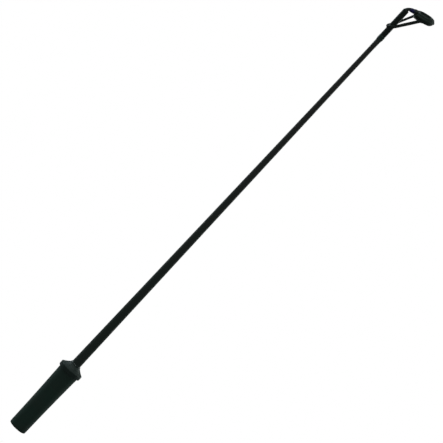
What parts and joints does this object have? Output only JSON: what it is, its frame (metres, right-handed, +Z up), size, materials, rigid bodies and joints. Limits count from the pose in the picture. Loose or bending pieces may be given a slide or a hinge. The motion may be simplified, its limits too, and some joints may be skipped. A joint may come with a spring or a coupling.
{
  "type": "fishing rod top section",
  "caption": "Short tapered black fibreglass rod with a plug-in butt, a conical stop collar, and a line ring on a braced steel frame at its tip.",
  "frame": {"origin": "centre of the butt's flat end", "axes": "+Z up the rod from the butt to the tip; the line ring stands off to the +X side; XZ is the plane of symmetry"},
  "size_m": [0.0459, 0.0272, 0.6112],
  "materials": {
    "fibreglass": "satin",
    "moulded_plug": "satin",
    "butt_cap": "satin",
    "arbor_foam": "matte",
    "epoxy": "gloss",
    "moulded_collar": "satin",
    "thread": "satin",
    "wrap_gloss": "gloss",
    "coated_steel": "satin",
    "braze": "satin",
    "nylon": "satin",
    "insert_ceramic": "polished"
  },
  "bodies": {
    "root": {"rod_blank": "fibreglass", "plug_sleeve": "moulded_plug", "butt_cap": "butt_cap", "plug_arbor_1": "arbor_foam", "plug_arbor_2": "arbor_foam", "plug_arbor_3": "arbor_foam", "plug_adhesive": "epoxy", "stop_collar": "moulded_collar", "collar_adhesive": "epoxy", "thread_wrap": "thread", "wrap_coat": "wrap_gloss", "tip_tube": "coated_steel", "tip_adhesive": "epoxy", "mouth_braze": "braze", "front_link": "coated_steel", "brace_strip": "coated_steel", "ring_hoop": "coated_steel", "ring_frame": "coated_steel", "shock_ring": "nylon", "ring_insert": "insert_ceramic", "tube_braze": "braze", "ring_braze": "braze"}
  },
  "joints": []
}
